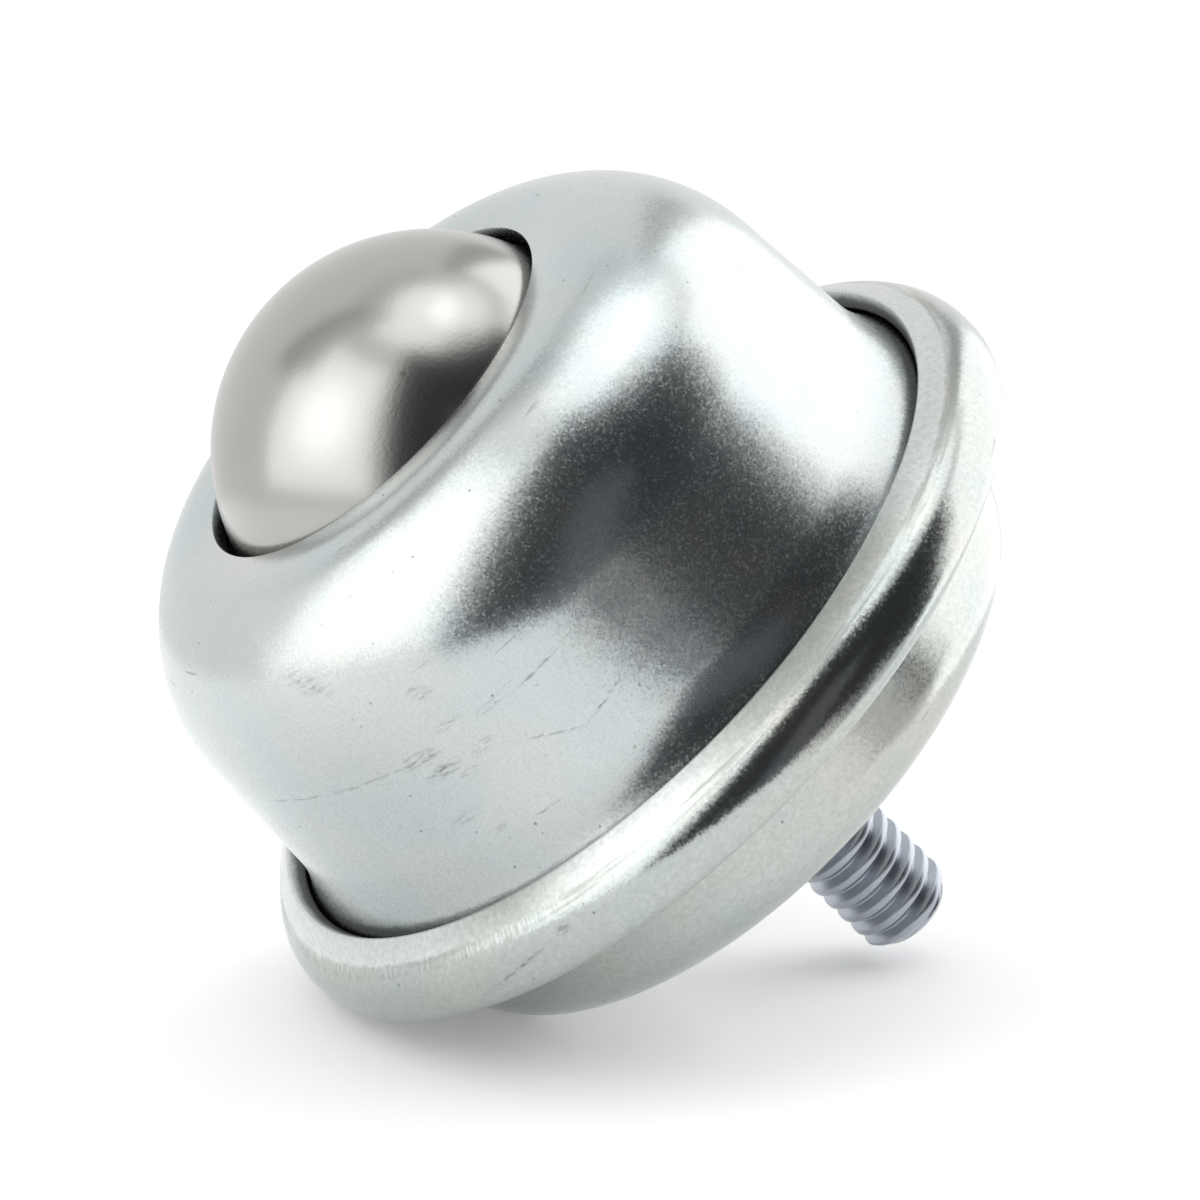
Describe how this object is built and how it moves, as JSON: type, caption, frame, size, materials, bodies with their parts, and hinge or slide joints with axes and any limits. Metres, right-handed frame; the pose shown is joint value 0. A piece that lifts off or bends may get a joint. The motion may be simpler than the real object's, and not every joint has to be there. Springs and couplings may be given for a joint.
{
  "type": "stud mount ball transfer unit",
  "caption": "Ball transfer unit: a free-rolling steel ball in a pressed round housing with a folded rim, on a threaded mounting stud.",
  "frame": {"origin": "on the axis, in the plane of the base's flat seat, where the stud's shank begins", "axes": "+Z along the axis from the seat towards the load ball; the stud points along -Z"},
  "size_m": [0.0544, 0.0544, 0.0557],
  "materials": {
    "zinc_plate": "bright zinc plated sheet steel",
    "stud_plate": "bright zinc plated threaded rod",
    "ball_steel": "satin ground steel ball",
    "race_steel": "hardened plain steel",
    "bearing_steel": "polished bearing steel"
  },
  "bodies": {
    "housing": {"top_cover": "zinc_plate", "base_cup": "zinc_plate", "bearing_cup": "race_steel", "cup_support": "race_steel", "stud": "stud_plate"},
    "pole_bearing_ball": {"bearing_ball_01": "bearing_steel"},
    "load_ball": {"load_ball": "ball_steel"},
    "bearing_ring": {"bearing_ball_02": "bearing_steel", "bearing_ball_03": "bearing_steel", "bearing_ball_04": "bearing_steel", "bearing_ball_05": "bearing_steel", "bearing_ball_06": "bearing_steel", "bearing_ball_07": "bearing_steel", "bearing_ball_08": "bearing_steel", "bearing_ball_09": "bearing_steel", "bearing_ball_10": "bearing_steel", "bearing_ball_11": "bearing_steel", "bearing_ball_12": "bearing_steel", "bearing_ball_13": "bearing_steel", "bearing_ball_14": "bearing_steel", "bearing_ball_15": "bearing_steel", "bearing_ball_16": "bearing_steel", "bearing_ball_17": "bearing_steel", "bearing_ball_18": "bearing_steel", "bearing_ball_19": "bearing_steel", "bearing_ball_20": "bearing_steel", "bearing_ball_21": "bearing_steel", "bearing_ball_22": "bearing_steel", "bearing_ball_23": "bearing_steel", "bearing_ball_24": "bearing_steel", "bearing_ball_25": "bearing_steel", "bearing_ball_26": "bearing_steel", "bearing_ball_27": "bearing_steel", "bearing_ball_28": "bearing_steel", "bearing_ball_29": "bearing_steel", "bearing_ball_30": "bearing_steel", "bearing_ball_31": "bearing_steel", "bearing_ball_32": "bearing_steel", "bearing_ball_33": "bearing_steel", "bearing_ball_34": "bearing_steel", "bearing_ball_35": "bearing_steel", "bearing_ball_36": "bearing_steel", "bearing_ball_37": "bearing_steel", "bearing_ball_38": "bearing_steel", "bearing_ball_39": "bearing_steel", "bearing_ball_40": "bearing_steel", "bearing_ball_41": "bearing_steel", "bearing_ball_42": "bearing_steel", "bearing_ball_43": "bearing_steel", "bearing_ball_44": "bearing_steel", "bearing_ball_45": "bearing_steel", "bearing_ball_46": "bearing_steel", "bearing_ball_47": "bearing_steel", "bearing_ball_48": "bearing_steel", "bearing_ball_49": "bearing_steel", "bearing_ball_50": "bearing_steel", "bearing_ball_51": "bearing_steel", "bearing_ball_52": "bearing_steel"}
  },
  "joints": [
    {"name": "load_ball_swivel", "type": "hinge", "parent": "housing", "child": "pole_bearing_ball", "pos_m": [0, 0, 0.0271], "axis": [0, 0, 1], "continuous": true},
    {"name": "load_ball_roll", "type": "hinge", "parent": "pole_bearing_ball", "child": "load_ball", "pos_m": [0, 0, 0.0271], "axis": [0, 1, 0], "continuous": true},
    {"name": "bearing_orbit", "type": "hinge", "parent": "housing", "child": "bearing_ring", "pos_m": [0, 0, 0.0271], "axis": [0, 0, 1], "continuous": true}
  ],
  "couplings": [
    {"joint": "bearing_orbit", "follows": "load_ball_swivel", "ratio": 0.42105}
  ]
}
